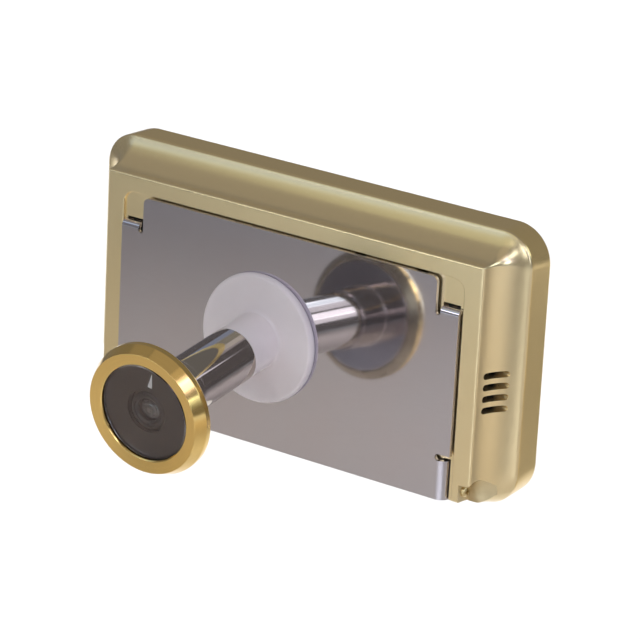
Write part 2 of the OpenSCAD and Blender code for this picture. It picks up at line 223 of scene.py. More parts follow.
def finer(node, name, bevel, segs=2, angle=30.0):
    """A copy of a CAD node with its flat faces joined and its sharp edges softened."""
    bm = bmesh.new()
    bm.from_mesh(nodes[node].data)
    bmesh.ops.remove_doubles(bm, verts=bm.verts, dist=1e-7)
    bmesh.ops.dissolve_limit(bm, angle_limit=math.radians(0.4), verts=bm.verts, edges=bm.edges)
    if bevel:
        sharp = [e for e in bm.edges if len(e.link_faces) == 2 and e.calc_face_angle(0.0) > math.radians(angle)]
        bmesh.ops.bevel(bm, geom=sharp, offset=bevel * MM, offset_type="OFFSET", segments=segs,
                        profile=0.5, affect="EDGES", clamp_overlap=True)
        bmesh.ops.remove_doubles(bm, verts=bm.verts, dist=1e-7)
    me = bpy.data.meshes.new(name)
    bm.to_mesh(me)
    bm.free()
    ob = bpy.data.objects.new(name, me)
    scene.collection.objects.link(ob)
    shade(ob, 35.0)
    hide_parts(node)
    return ob


# ---------------------------------------------------------------- material helpers
class Mat:
    """A Principled material with helpers for its texture nodes, in object space."""

    def __init__(self, name, **sockets):
        self.mat = bpy.data.materials.new(name)
        self.mat.use_nodes = True
        self.t = self.mat.node_tree
        self.t.nodes.clear()
        self.out = self.t.nodes.new("ShaderNodeOutputMaterial")
        self.p = self.t.nodes.new("ShaderNodeBsdfPrincipled")
        self.t.links.new(self.p.outputs[0], self.out.inputs[0])
        for k, v in sockets.items():
            self.p.inputs[k.replace("_", " ")].default_value = v
        self.coord = self.t.nodes.new("ShaderNodeTexCoord").outputs["Object"]

    def node(self, kind, **props):
        n = self.t.nodes.new(kind)
        for k, v in props.items():
            setattr(n, k, v)
        return n

    def link(self, a, b):
        self.t.links.new(a, b)

    def scaled(self, sx, sy, sz, src=None):
        n = self.node("ShaderNodeVectorMath", operation="MULTIPLY")
        self.link(src or self.coord, n.inputs[0])
        n.inputs[1].default_value = (sx, sy, sz)
        return n.outputs[0]

    def noise(self, scale, detail=3.0, rough=0.55, vec=None, stretch=None):
        n = self.node("ShaderNodeTexNoise")
        n.inputs["Scale"].default_value = scale
        n.inputs["Detail"].default_value = detail
        n.inputs["Roughness"].default_value = rough
        v = vec or self.coord
        if stretch:
            v = self.scaled(*stretch, src=v)
        self.link(v, n.inputs["Vector"])
        return n.outputs["Fac"]

    def ramp(self, fac, stops):
        n = self.node("ShaderNodeValToRGB")
        el = n.color_ramp.elements
        while len(el) < len(stops):
            el.new(0.5)
        for e, (p, c) in zip(el, stops):
            e.position = p
            e.color = (*c, 1.0) if len(c) == 3 else c
        self.link(fac, n.inputs[0])
        return n.outputs[0]

    def remap(self, fac, lo, hi, a=0.0, b=1.0):
        n = self.node("ShaderNodeMapRange")
        self.link(fac, n.inputs["Value"])
        for k, v in (("From Min", a), ("From Max", b), ("To Min", lo), ("To Max", hi)):
            n.inputs[k].default_value = v
        return n.outputs[0]

    def math(self, op, a, b=None):
        n = self.node("ShaderNodeMath", operation=op)
        for i, v in enumerate((a, b)):
            if v is None:
                continue
            if isinstance(v, (int, float)):
                n.inputs[i].default_value = v
            else:
                self.link(v, n.inputs[i])
        return n.outputs[0]

    def mix(self, fac, a, b, blend="MIX"):
        n = self.node("ShaderNodeMix", data_type="RGBA", blend_type=blend)
        for key, v in ((0, fac), (6, a), (7, b)):
            if isinstance(v, (int, float)):
                n.inputs[key].default_value = v
            elif isinstance(v, tuple):
                n.inputs[key].default_value = (*v, 1.0) if len(v) == 3 else v
            else:
                self.link(v, n.inputs[key])
        return n.outputs[2]

    def color(self, sock):
        self.link(sock, self.p.inputs["Base Color"])

    def rough(self, sock):
        self.link(sock, self.p.inputs["Roughness"])

    def bump(self, height, strength, dist):
        n = self.node("ShaderNodeBump")
        n.inputs["Strength"].default_value = strength
        n.inputs["Distance"].default_value = dist
        self.link(height, n.inputs["Height"])
        self.link(n.outputs[0], self.p.inputs["Normal"])

    def radius(self, axis, centre=(0, 0, 0)):
        """Distance from an axis line and distance along it, in metres."""
        sub = self.node("ShaderNodeVectorMath", operation="SUBTRACT")
        self.link(self.coord, sub.inputs[0])
        sub.inputs[1].default_value = centre
        dot = self.node("ShaderNodeVectorMath", operation="DOT_PRODUCT")
        self.link(sub.outputs[0], dot.inputs[0])
        dot.inputs[1].default_value = tuple(float(c) for c in axis)
        sc = self.node("ShaderNodeVectorMath", operation="SCALE")
        sc.inputs[0].default_value = tuple(float(c) for c in axis)
        self.link(dot.outputs["Value"], sc.inputs["Scale"])
        perp = self.node("ShaderNodeVectorMath", operation="SUBTRACT")
        self.link(sub.outputs[0], perp.inputs[0])
        self.link(sc.outputs[0], perp.inputs[1])
        ln = self.node("ShaderNodeVectorMath", operation="LENGTH")
        self.link(perp.outputs[0], ln.inputs[0])
        return ln.outputs["Value"], dot.outputs["Value"]

    def pair(self, a, b):
        n = self.node("ShaderNodeCombineXYZ")
        self.link(a, n.inputs[0])
        self.link(b, n.inputs[1])
        return n.outputs[0]


def grained(name, base, vary=0.06, rough=0.5, rough_vary=0.06, scale=900.0, fine=5000.0, bump=0.15, dist=0.00002, **sockets):
    """A plain material with cloudy colour, uneven gloss and a fine surface texture."""
    m = Mat(name, **sockets)
    cloud = m.noise(scale, 4.0, 0.6)
    grain = m.noise(fine, 2.0, 0.5)
    lo = tuple(c * (1 - vary) for c in base)
    hi = tuple(min(1.0, c * (1 + vary)) for c in base)
    m.color(m.ramp(cloud, [(0.3, lo), (0.7, hi)]))
    m.rough(m.remap(grain, rough - rough_vary, rough + rough_vary, 0.3, 0.7))
    m.bump(grain, bump, dist)
    return m.mat


# ---------------------------------------------------------------- materials
def champagne_paint(name, base, rough):
    m = Mat(name, Metallic=0.93, Coat_Weight=0.08, Coat_Roughness=0.22)
    flake = m.noise(5200.0, 1.0, 0.5)
    cloud = m.noise(60.0, 3.0, 0.5)
    lo = tuple(c * 0.985 for c in base)
    hi = tuple(min(1.0, c * 1.015) for c in base)
    c = m.ramp(flake, [(0.3, lo), (0.7, hi)])
    m.color(m.mix(m.remap(cloud, 0.0, 0.16, 0.35, 0.7), c, tuple(x * 0.93 for x in base)))
    m.rough(m.remap(flake, rough - 0.01, rough + 0.015, 0.3, 0.7))
    m.bump(m.noise(4200.0, 2.0, 0.6), 0.02, 0.00001)
    return m.mat


CHAMPAGNE = champagne_paint("champagne_paint", (0.925, 0.757, 0.458), 0.25)
CHAMPAGNE_BAND = champagne_paint("champagne_band", (1.0, 0.745, 0.345), 0.25)


def plate_steel():
    m = Mat("plate_steel", Metallic=0.94, Anisotropic=0.3)
    brush = m.noise(1.0, 5.0, 0.7, stretch=(180.0, 900.0, 9000.0))
    cloud = m.noise(45.0, 3.0, 0.55)
    c = m.ramp(brush, [(0.3, (0.553, 0.53, 0.60)), (0.7, (0.626, 0.61, 0.68))])
    m.color(m.mix(m.remap(cloud, 0.0, 0.5, 0.35, 0.7), c, (0.60, 0.545, 0.60)))
    m.rough(m.math("ADD", m.remap(brush, 0.035, 0.06, 0.3, 0.7), m.remap(cloud, 0.0, 0.02, 0.35, 0.7)))
    m.bump(brush, 0.03, 0.000004)
    return m.mat


STEEL = plate_steel()
# rougher champagne for the scoops, darker and less metallic: painted shade in the hollows
SCOOP_SHADE = grained("scoop_painted_shade", (0.72, 0.585, 0.345), 0.03, 0.46, 0.03, Metallic=0.55, bump=0.03)
# rougher steel for the cut edges, painted brighter than the faces: painted highlight
EDGE_HIGHLIGHT = grained("sheared_edge_highlight", (0.80, 0.76, 0.80), 0.04, 0.32, 0.05, Metallic=1.0, bump=0.05)


def turned_metal(name, base, rough, axis, centre=(0, 0, 0), rings=9000.0, strength=0.04, vary=0.05, spots=0.0):
    m = Mat(name, Metallic=1.0)
    r, l = m.radius(axis, centre)
    groove = m.noise(1.0, 2.0, 0.6, vec=m.scaled(rings, rings, 1.0, src=m.pair(r, l)))
    cloud = m.noise(140.0, 3.0, 0.55)
    lo = tuple(c * (1 - vary) for c in base)
    hi = tuple(min(1.0, c * (1 + vary)) for c in base)
    c = m.ramp(groove, [(0.3, lo), (0.7, hi)])
    m.color(m.mix(m.remap(cloud, 0.0, 0.3, 0.35, 0.7), c, tuple(x * 0.93 for x in base)))
    m.rough(m.math("ADD", m.remap(groove, rough * 0.85, rough * 1.15, 0.3, 0.7), m.remap(cloud, 0.0, rough * 0.3, 0.4, 0.7)))
    m.bump(groove, strength, 0.000006)
    return m.mat


CHROME = turned_metal("chrome", (0.52, 0.46, 0.405), 0.035, EZ, strength=0.02, vary=0.02)
GOLD = turned_metal("gold", (0.88, 0.612, 0.225), 0.12, EZ, strength=0.05)
# rougher gold for the ring's back, painted much darker: painted shade
GOLD_BACK_SHADE = turned_metal("gold_back_shaded", (0.42, 0.345, 0.225), 0.26, EZ, strength=0.05)
SCREW = turned_metal("screw_zinc", (0.66, 0.52, 0.27), 0.28, (1, 0, 0), (BX * MM, 3.6 * MM, -25.1 * MM))
SCREW_Y = grained("housing_screw_zinc", (0.62, 0.62, 0.64), 0.06, 0.28, 0.05, Metallic=1.0)
KEY_METAL = turned_metal("spun_key", (0.70, 0.615, 0.37), 0.26, (0, 1, 0), (KEY_X * MM, 0, BAND_CZ * MM), rings=14000.0, strength=0.12)


def bush_rubber():
    m = Mat("white_bush", Subsurface_Weight=0.35, Subsurface_Scale=0.0016, Specular_IOR_Level=0.35)
    m.p.inputs["Subsurface Radius"].default_value = (1.0, 0.9, 0.9)
    cloud = m.noise(90.0, 3.0, 0.5)
    grain = m.noise(2600.0, 2.0, 0.5)
    m.color(m.ramp(cloud, [(0.3, (0.75, 0.68, 0.695)), (0.7, (0.80, 0.728, 0.742))]))
    m.rough(m.remap(grain, 0.46, 0.58, 0.3, 0.7))
    m.bump(grain, 0.12, 0.00002)
    return m.mat


BUSH = bush_rubber()
BLACK_PRINT = grained("black_print", (0.018, 0.0131, 0.0131), 0.15, 0.35, 0.05, bump=0.04)
BLACK = grained("black_plastic", (0.022, 0.021, 0.022), 0.15, 0.45, 0.06)
GLASS = Mat("clear_window", Base_Color=(0.96, 0.95, 0.95, 1), Transmission_Weight=1.0, IOR=1.5, Specular_Tint=(1.0, 0.80, 0.82, 1))
GLASS.rough(GLASS.remap(GLASS.noise(1200.0, 2.0), 0.004, 0.02, 0.3, 0.7))
GLASS = GLASS.mat
LENS = Mat("lens_glass", Base_Color=(0.03, 0.03, 0.035, 1), Coat_Weight=1.0, Coat_Roughness=0.02)
LENS.color(LENS.ramp(LENS.remap(LENS.radius(EZ)[0], 0.0, 1.0, 0.0, 0.0029),
                     [(0.0, (0.10, 0.085, 0.09)), (0.35, (0.012, 0.011, 0.014)), (0.62, (0.05, 0.046, 0.05)), (0.85, (0.014, 0.013, 0.016))]))
LENS.rough(LENS.remap(LENS.noise(1500.0), 0.03, 0.08, 0.3, 0.7))
LENS = LENS.mat
MARK = grained("white_mark", (0.86, 0.86, 0.86), 0.03, 0.5, 0.05)


def screen_glass():
    m = Mat("screen_cover", Coat_Weight=0.6, Coat_Roughness=0.02, Specular_IOR_Level=0.55)
    sep = m.node("ShaderNodeSeparateXYZ")
    m.link(m.coord, sep.inputs[0])
    dx = m.math("ABSOLUTE", m.math("SUBTRACT", sep.outputs[0], 0.022))
    dz = m.math("ABSOLUTE", m.math("SUBTRACT", sep.outputs[2], BAND_CZ * MM))
    inside = m.math("MULTIPLY", m.math("LESS_THAN", dx, 0.0355), m.math("LESS_THAN", dz, 0.0267))
    smear = m.noise(35.0, 4.0, 0.6)
    c = m.mix(inside, (0.0055, 0.0055, 0.006), (0.014, 0.0155, 0.018))
    m.color(m.mix(m.remap(smear, 0.0, 0.3, 0.4, 0.7), c, (0.010, 0.010, 0.011)))
    m.rough(m.remap(smear, 0.03, 0.10, 0.35, 0.7))
    return m.mat


SCREEN = screen_glass()
CLEAR = grained("clear_plastic", (0.80, 0.84, 0.86), 0.03, 0.12, 0.03, Transmission_Weight=0.6)
BOARD = grained("solder_mask", (0.022, 0.105, 0.05), 0.14, 0.35, 0.06, Specular_IOR_Level=0.6)
CREAM = grained("connector", (0.68, 0.64, 0.52), 0.05, 0.4, 0.05)
TIN = grained("tinned_sheet", (0.60, 0.60, 0.60), 0.06, 0.30, 0.06, Metallic=1.0)
FRAME_SHEET = grained("lcd_frame", (0.42, 0.43, 0.45), 0.06, 0.35, 0.06, Metallic=1.0)
FOIL = grained("battery_foil", (0.48, 0.50, 0.53), 0.08, 0.42, 0.07, Metallic=0.6)
FOAM = grained("foam_tape", (0.72, 0.68, 0.56), 0.08, 0.85, 0.08, bump=0.5, dist=0.0001)
FOAM_BLACK = grained("foam_black", (0.03, 0.03, 0.03), 0.15, 0.85, 0.08, bump=0.5, dist=0.0001)
CABLE = grained("cable_jacket", (0.05, 0.05, 0.055), 0.1, 0.42, 0.06)


def paint(ob, mat):
    ob.data.materials.clear()
    ob.data.materials.append(mat)
    return ob


def piece(ob, mat, body, slot, *stands_for):
    paint(ob, mat)
    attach(ob, body)
    if stands_for:
        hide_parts(*stands_for)
    return ob


# ---------------------------------------------------------------- monitor: rear shell
DEPTH = SPLIT_Y - RAIL_Y


def cove(d, flare):
    """How far a hollowed side stands out at a depth: an arc with a rounded lip at its end."""
    r = (DEPTH ** 2 + flare ** 2) / (2 * flare)
    c1, s1 = 1 - flare / r, DEPTH / r
    if d <= (r - LIP) * s1:
        return (r - LIP) - math.sqrt((r - LIP) ** 2 - d * d)
    st = max(0.0, min(1.0, s1 - (d - (r - LIP) * s1) / LIP))
    return (r - LIP) * (1 - c1) + LIP * (math.sqrt(1 - st * st) - c1)


def body_ring(y, inset=0.0):
    """Outline of the flared back at one depth."""
    d = max(0.0, y - RAIL_Y)
    f, fl, fb = cove(d, FLARE), cove(d, FLARE_L), cove(d, FLARE_B)
    r = 0.35 + (CORNER - 0.35) * f / FLARE
    return box_outline(BX - HX - fl + inset, BOT - fb + inset, BX + HX + f - inset, TOP + f - inset,
                       max(r - inset, 0.12), corner=22, sides=10)


def scoop_r(t):
    """Radius of the scoop at a distance from its flat end."""
    return 3.3 + 0.115 * max(0.0, min(t, 6.0) - 1.5) ** 2 + max(0.0, t - 6.0)


def rear_shell():
    e = 0.6                                     # softened edge of the rails
    rings = []
    for k in range(6):
        a = math.radians(90 * k / 5)
        rings.append(at_y(body_ring(RAIL_Y, e * (1 - math.sin(a))), RAIL_Y + e * (1 - math.cos(a))))
    depths = [e + (9.8 - e) * math.sin(math.radians(72 * k / 28)) / math.sin(math.radians(72)) for k in range(1, 29)]
    depths += [9.8 + (DEPTH - 9.8) * math.sin(math.radians(90 * k / 16)) for k in range(1, 15)] + [DEPTH - 0.01]
    for d in depths:
        rings.append(at_y(body_ring(RAIL_Y + d), RAIL_Y + d))
    ob = skin("rear_shell", rings, caps=True)

    cav = block("cav", (BX - 53, 4.0, BOT + 2), (BX + 53, 12.4, TOP - 2))
    steps = [("UNION", block("cav2", (BX - 54.8, 7.8, BOT + 1.8), (BX + 54.8, 12.5, TOP))),
             ("UNION", block("cav3", (BX - 57.4, 10.4, BOT + 1.4), (BX + 57.4, 12.6, TOP + 2.6)))]
    for s in (-1, 1):
        xs = sorted((BX + s * 45.7, BX + s * 60))
        steps.append(("DIFFERENCE", block("blk", (xs[0], 3, BOT - 1), (xs[1], 10.6, -16.2))))
    apply_booleans(cav, steps)

    cut = [("DIFFERENCE", cav),
           ("UNION", lathe("boss", [(0, FLOOR_Y + 0.5), (16.2, FLOOR_Y + 0.5), (16.2, 10.6), (0, 10.6)], 72, y_ring(0, 0)))]
    screws = [(-30, 24.5), (-30, -23), (50.2, 12.2), (50.2, -13)]
    for x, z in screws:
        cut.append(("UNION", lathe("boss", [(0, FLOOR_Y + 0.5), (2.8, FLOOR_Y + 0.5), (2.8, 11.0), (0, 11.0)], 32, y_ring(x, z))))
    # recess for the plate, with a softened lip where it meets the rails
    hw, top = 49.9, 27.5

    def recess(grow):
        r = 3.0 + grow
        x0, x1, z1 = BX - hw - grow, BX + hw + grow, top + grow
        arc1 = [(x1 - r + r * math.cos(a), z1 - r + r * math.sin(a)) for a in np.linspace(0, math.pi / 2, 13)]
        arc2 = [(x0 + r + r * math.cos(a), z1 - r + r * math.sin(a)) for a in np.linspace(math.pi / 2, math.pi, 13)]
        return [(x1, -45.0)] + arc1 + arc2 + [(x0, -45.0)]
    lip = 0.22
    rr = [at_y(recess(lip + 0.35), RAIL_Y - 1.0), at_y(recess(lip + 0.002), RAIL_Y - 0.001)]
    for k in range(0, 5):
        a = math.radians(90 * k / 4)
        rr.append(at_y(recess(lip * (1 - math.sin(a))), RAIL_Y + lip * (1 - math.cos(a)) + (0.0005 if k == 0 else 0)))
    rr.append(at_y(recess(0.0), FLOOR_Y))
    cut.append(("DIFFERENCE", skin("recess", rr, caps=True)))
    # room for the sleeve's head and the camera plug
    cut.append(("DIFFERENCE", lathe("pocket", [(0, 1), (15.3, 1), (15.3, FLOOR_Y + 0.001), (15, FLOOR_Y + 0.3), (15, 9.4), (0, 9.4)], 96, y_ring(0, 0))))
    cut.append(("DIFFERENCE", block("plug_room", (-5, 8, -14.5), (5, 12, -8.6))))
    for s in (-1, 1):
        xs = sorted((BX + s * 44.1, BX + s * 48.9))
        cut.append(("DIFFERENCE", block("hook_slot", (xs[0], 1, 16), (xs[1], 4.2, 20.9))))
        xs = sorted((BX + s * 46.9, BX + s * 48.9))
        cut.append(("DIFFERENCE", block("flange_room", (xs[0], 1, -40), (xs[1], 7, -17.4))))
        # screwdriver scoop with a softened rim, and the screw's hole
        cut.append(("DIFFERENCE", x_tube("scoop", 3.2, -25.4, [(scoop_r(t), BX + s * (51.8 + t)) for t in (0, 1.5, 2, 2.5, 3, 3.5, 4, 4.5, 5, 5.5, 6, 12)], 96)))
        cut.append(("DIFFERENCE", x_tube("hole", 3.6, -25.1, [(1.05, BX + s * 48.5), (1.05, BX + s * 53)], 32)))
    for x, z in screws:
        cut.append(("DIFFERENCE", lathe("hole", [(0, 1), (2, 1), (2, 3.9), (1.25, 3.9), (1.25, 12), (0, 12)], 32, y_ring(x, z))))
    # speaker slots with round ends
    for i in range(4):
        z = 0.1 + (i - 1.5) * 2.87
        pts = [(4.2 + 0.8 * math.cos(a), z + 0.8 * math.sin(a)) for a in np.linspace(math.pi / 2, 3 * math.pi / 2, 13)]
        pts += [(8.7 + 0.8 * math.cos(a), z + 0.8 * math.sin(a)) for a in np.linspace(-math.pi / 2, math.pi / 2, 13)]
        cut.append(("DIFFERENCE", skin("slot", [[(BX + 52.5, y, zz) for y, zz in pts], [(BX + 64, y, zz) for y, zz in pts]], caps=True)))
    # two small moulding notches in the top wall of the recess
    for x in (26.6, 44.2):
        cut.append(("DIFFERENCE", block("notch", (x - 1.5, 1.2, 26.4), (x + 1.5, 4.3, 28.3))))
    apply_booleans(ob, cut)
    return shade(ob, 24.0)


rear = piece(rear_shell(), CHAMPAGNE, "monitor", "champagne", "rear_housing")
# the two scoops get a rougher paint whose darker, less metallic colour is painted shade in the hollows
rear.data.materials.append(SCOOP_SHADE)
for f in rear.data.polygons:
    x, y, z = (c / MM for c in f.center)
    t = abs(x - BX) - 51.8
    far = math.hypot(y - 3.2, z + 25.4)
    if -0.02 < t < 6.0 and y < 10 and (abs(far - scoop_r(t)) < 0.05 or t < 0.02 and far < 3.3):
        f.material_index = 1


# ---------------------------------------------------------------- monitor: front frame
def band_ring(o, y):
    r = CORNER + (CORNER_FRONT - CORNER) * (y - SPLIT_Y) / (FRONT_Y - SPLIT_Y)
    return at_y(box_outline(X0 + o, Z0 + o, X1 - o, Z1 - o, max(r - o, 0.5), corner=24, sides=4), y)


def front_frame():
    prof = rounded([
        (0.10, SPLIT_Y + 0.03, 0.0), (0.0, SPLIT_Y + 0.34, 0.25), (0.0, FRONT_Y, 0.8), (4.3, FRONT_Y, 0.12),
        (4.3, 18.7), (6.2, 18.7), (6.2, 17.7), (2.0, 17.7), (2.0, SPLIT_Y), (0.45, SPLIT_Y)], 6)
    ob = skin("front_frame", [band_ring(o, y) for o, y in prof], loop=True)
    port = [(y, z) for y, z in rounded([(12.7, -4.1, 1.25), (16.1, -4.1, 1.25), (16.1, 4.1, 1.25), (12.7, 4.1, 1.25)], 8)]
    apply_booleans(ob, [("DIFFERENCE", skin("port", [[(X0 - 1, y, z) for y, z in port], [(X0 + 4, y, z) for y, z in port]], caps=True))])
    return shade(ob, 28.0)


front = piece(front_frame(), CHAMPAGNE_BAND, "monitor", "champagne", "front_bezel")


# ---------------------------------------------------------------- plate and clamp
plate = piece(finer("mounting_plate", "steel_plate", 0.26, 4, 40.0), STEEL, "plate", "plate_steel")
# the cut edges of the sheet are rougher than its faces and painted brighter: a painted highlight line along them
plate.data.materials.append(EDGE_HIGHLIGHT)
for f in plate.data.polygons:
    x, y, z = (c / MM for c in f.center)
    bent = abs(x - BX) > 44.4 and (z > 18.6 or z < -17.9)
    if 0.02 < y < 0.98 and abs(f.normal.y) < 0.9 and not bent:
        f.material_index = 1
washer = piece(finer("clamp_washer", "washer", 0.12), BLACK, "clamp", "black_plastic")
sleeve = piece(finer("clamp_sleeve", "sleeve", 0.12), CHROME, "sleeve", "chrome")


def bush():
    n = 144
    w = np.arange(n) * 2 * math.pi / n
    cw, sw = np.cos(w)[:, None], np.sin(w)[:, None]
    flat = np.array([1, 0, 0]) * cw + np.array([0, 0, 1]) * sw
    tilt = EX * cw + EY * sw

    def flange(r, y):
        return flat * r + np.array([0, y, 0])

    def on_plane(r, y):                          # the tilted neck where it crosses a level
        side = tilt * r
        return side + EZ * ((y - side[:, 1:2]) / EZ[1])

    def between(a, b, k):
        return a + (b - a) * k

    def end(r, l):
        return tilt * r + EZ * l

    rings = [flange(6.2, -1.0), flange(6.2, 0.0), flange(15.9, 0.0)]
    rings += [flange(15.9 + 0.35 * math.sin(a), -0.35 * (1 - math.cos(a))) for a in np.linspace(0.25, math.pi / 2, 5)]
    rings += [flange(15.4 + 0.85 * math.cos(a), -0.75 - 1.25 * math.sin(a)) for a in np.linspace(0, math.pi / 2, 11)]
    rings += [flange(12.0, -2.0)]
    rings += [on_plane(6.9 + 0.7 * (1 - math.sin(a)), -2.0 - 0.7 * (1 - math.cos(a))) for a in np.linspace(0, math.pi / 2, 8)]
    base, tip = rings[-1], end(6.9, 11.3)
    rings += [between(base, tip, k) for k in (0.12, 0.25, 0.4, 0.6, 0.8, 1.0)]
    rings += [end(6.55 + 0.35 * math.cos(a), 11.3 + 0.35 * math.sin(a)) for a in np.linspace(0.3, math.pi / 2, 5)]
    rings += [end(6.05, 11.65)]
    rings += [end(5.8, 11.4)]
    inner = on_plane(5.8, -1.0)
    rings += [between(end(5.8, 11.4), inner, k) for k in (0.4, 0.7, 1.0)]
    ob = skin("bush", rings, loop=True)
    return shade(ob, 40.0)


bush_piece = paint(bush(), BUSH)
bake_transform(bush_piece)
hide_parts("spacer_bush")

# ---------------------------------------------------------------- barrel and camera head
tube = piece(shade(lathe("barrel", rounded([
    (5.75, 11.8), (7.0, 11.8, 0.3), (7.0, 33.0, 0.04), (7.6, 33.0, 0.14), (7.6, 42.2, 0.35), (14.0, 42.2, 0.3), (14.0, 43.4, 0.2), (5.75, 43.4)], 5), 160), 30.0),
    CHROME, "barrel", "chrome", "barrel_tube")
ring = piece(shade(lathe("head_ring", rounded([
    (14.05, 42.2, 0.1), (14.75, 42.2, 0.3), (16.4, 43.9, 0.5), (16.4, 45.4, 0.45),
    (15.08, 48.3, 0.1), (12.3, 47.84, 0.1), (12.05, 47.6, 0.08), (12.05, 44.95), (14.05, 44.95)], 6), 192), 30.0),
    GOLD, "barrel", "gold", "camera_ring")
# the back of the ring is rougher and painted much darker: painted shade on the side facing the plate
ring.data.materials.append(GOLD_BACK_SHADE)
for f in ring.data.polygons:
    if float(np.dot(np.array(f.normal), EZ)) < -0.3:
        f.material_index = 1
window = piece(shade(lathe("window", rounded([
    (0.0, 46.0), (11.98, 46.0, 0.05), (11.98, 47.05, 0.05), (11.55, 47.45, 0.06), (0.0, 47.45)], 3), 160), 30.0),
    GLASS, "barrel", "window_glass", "camera_window")
baffle = piece(shade(lathe("baffle", rounded([
    (5.85, 43.4), (14.0, 43.4), (14.0, 44.9), (11.9, 44.9), (11.9, 45.95), (5.3, 45.95, 0.1), (5.3, 45.6, 0.1), (6.4, 45.0, 0.1), (5.85, 44.4)], 3), 128), 30.0),
    BLACK_PRINT, "barrel", "black_plastic", "head_baffle")
holder = piece(shade(lathe("holder", rounded([
    (2.4, 40.4), (5.6, 40.4), (5.6, 43.2), (4.6, 43.2), (4.6, 45.35, 0.15), (4.15, 45.6, 0.1), (3.75, 45.6, 0.1), (3.6, 45.3, 0.08), (3.1, 45.15, 0.08), (2.9, 44.9), (2.9, 43.8), (2.4, 43.8)], 3), 128), 30.0),
    BLACK, "barrel", "black_plastic", "lens_holder")
dome = [(2.85 * k / 12, 45.4 - 6 + math.sqrt(36 - (2.85 * k / 12) ** 2) - 0.35) for k in range(13)]
lens = piece(shade(lathe("lens_dome", [(0.0, 43.85), (2.85, 43.85)] + dome[::-1], 96), 40.0), LENS, "barrel", "lens_glass", "lens")


def pointer():
    a = math.radians(90 - 12)
    u = EX * math.cos(a) + EY * math.sin(a)
    v = -EX * math.sin(a) + EY * math.cos(a)
    tri = rounded([(6.6, -0.63, 0.08), (10.5, 0.0, 0.03), (6.6, 0.63, 0.08)], 4)
    return skin("pointer", [[EZ * l + u * p + v * q for p, q in tri] for l in (45.952, 45.985)], caps=True)


mark = piece(shade(pointer(), 30.0, False), MARK, "barrel", "connector")


def tube_along(name, pts, r, segs=16):
    pts = [np.array(p, float) for p in pts]
    rings, up = [], np.array([1.0, 0, 0])
    for i, p in enumerate(pts):
        t = pts[min(i + 1, len(pts) - 1)] - pts[max(i - 1, 0)]
        t = t / np.linalg.norm(t)
        a = up - t * (up @ t)
        a = a / np.linalg.norm(a)
        b = np.cross(t, a)
        w = np.arange(segs) * 2 * math.pi / segs
        rings.append(p + r * (np.cos(w)[:, None] * a + np.sin(w)[:, None] * b))
    return shade(skin(name, rings, caps=True), 40.0)


run = paint(tube_along("cable_run", [EZ * l for l in np.linspace(39.2, -6.2, 40)], 1.0), CABLE)
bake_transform(run)
corner = EZ * -8.1
bend = [EZ * -6.2] + [EZ * -6.7 * (1 - w) ** 2 + corner * 2 * w * (1 - w) + (corner - np.array([0, 0, 1.5])) * w ** 2 for w in np.linspace(0, 1, 8)]
bend += [np.array([corner[0], corner[1], z]) for z in np.linspace(-1.3, -9.8, 10)]
tail = paint(tube_along("cable_tail", bend, 1.0), CABLE)
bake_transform(tail)
for c in (run, tail):
    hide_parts("camera_cable")

# ---------------------------------------------------------------- screws, key, front
for side in ("right", "left"):
    piece(finer("fixing_screw_" + side, "screw_" + side, 0.05, 2, 35.0), SCREW, "screw_" + side, "screw_steel")
screw_set = piece(finer("housing_screws", "shell_screws", 0.05, 2, 35.0), SCREW_Y, "monitor", "screw_steel")
cover = piece(finer("screen_glass", "screen_cover", 0.25, 3, 40.0), SCREEN, "monitor", "screen")
key = piece(shade(lathe("key", rounded([
    (0.0, 17.1), (6.8, 17.1, 0.1), (6.8, 18.3, 0.1), (6.0, 18.3, 0.05), (6.0, 20.9, 0.45), (4.9, 20.9, 0.2), (4.4, 20.65, 0.6), (0.0, 20.6)], 6), 96, y_ring(KEY_X, BAND_CZ)), 30.0),
    KEY_METAL, "key", "key_metal", "view_key")

for name, mat in (("sensor_board", BOARD), ("camera_plug", CREAM), ("lcd_panel", FRAME_SHEET), ("lcd_tray", BLACK), ("main_board", BOARD),
                  ("board_chips", BLACK), ("shield_can", TIN), ("camera_socket", CREAM), ("usb_socket", TIN), ("battery", FOIL),
                  ("battery_pad", FOAM), ("speaker", BLACK), ("speaker_gasket", FOAM_BLACK), ("microphone", TIN), ("key_switch", TIN),
                  ("status_led", CLEAR), ("light_pipe", CLEAR)):
    paint(nodes[name], mat)

# ---------------------------------------------------------------- floor, light, camera
FLOOR_Z = -0.16
floor_mat = grained("pale_floor", (0.86, 0.86, 0.865), 0.01, 0.8, 0.04, scale=6.0, fine=40.0, bump=0.0)
me = bpy.data.meshes.new("floor")
me.from_pydata([(-9, -9, FLOOR_Z), (9, -9, FLOOR_Z), (9, 9, FLOOR_Z), (-9, 9, FLOOR_Z)], [], [(0, 1, 2, 3)])
floor = bpy.data.objects.new("floor", me)
scene.collection.objects.link(floor)
paint(floor, floor_mat)

world = bpy.data.worlds.new("studio")
scene.world = world
world.use_nodes = True
bg = world.node_tree.nodes["Background"]
bg.inputs[0].default_value = (1.0, 0.98, 0.95, 1)
bg.inputs[1].default_value = 0.21
only_floor = bpy.data.collections.new("floor_only")
only_floor.objects.link(floor)
not_floor = bpy.data.collections.new("not_floor")
not_floor.objects.link(floor)
not_floor.collection_objects[0].light_linking.link_state = "EXCLUDE"
CENTRE = Vector((0.006, -0.005, 0.004))


